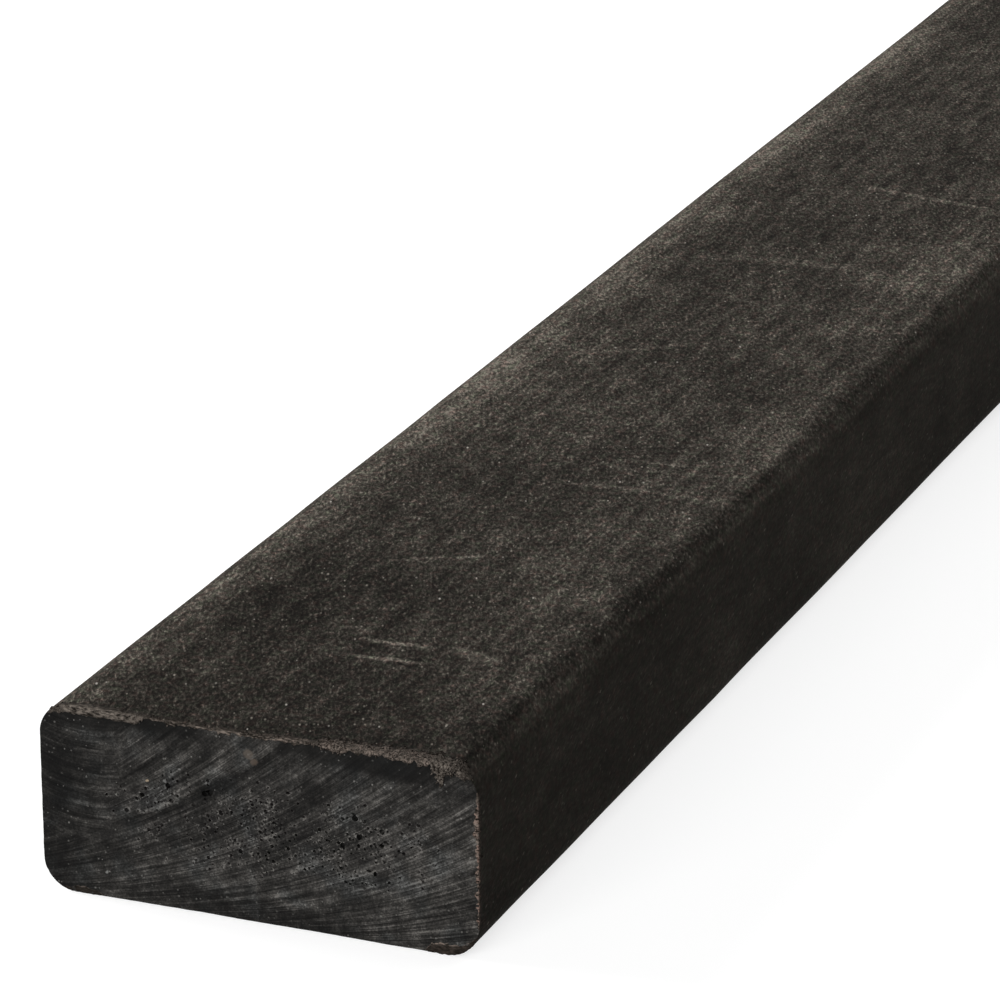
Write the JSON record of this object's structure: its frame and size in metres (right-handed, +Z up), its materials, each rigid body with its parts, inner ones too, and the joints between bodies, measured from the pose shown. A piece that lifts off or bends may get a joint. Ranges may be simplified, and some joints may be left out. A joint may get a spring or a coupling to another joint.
{
  "type": "plastic lumber board",
  "caption": "Solid moulded plastic lumber board with rounded arrises and square sawn ends, for decking frames, benches and edging.",
  "frame": {"origin": "centre of the underside, halfway along the board", "axes": "+Y along the length, away from the sawn end that the picture shows; +X across the width; +Z up, through the thickness"},
  "size_m": [0.0888, 2.4384, 0.0381],
  "materials": {
    "moulded_plastic": "matte",
    "sawn_plastic": "satin"
  },
  "bodies": {
    "root": {"board": "moulded_plastic"}
  },
  "joints": []
}
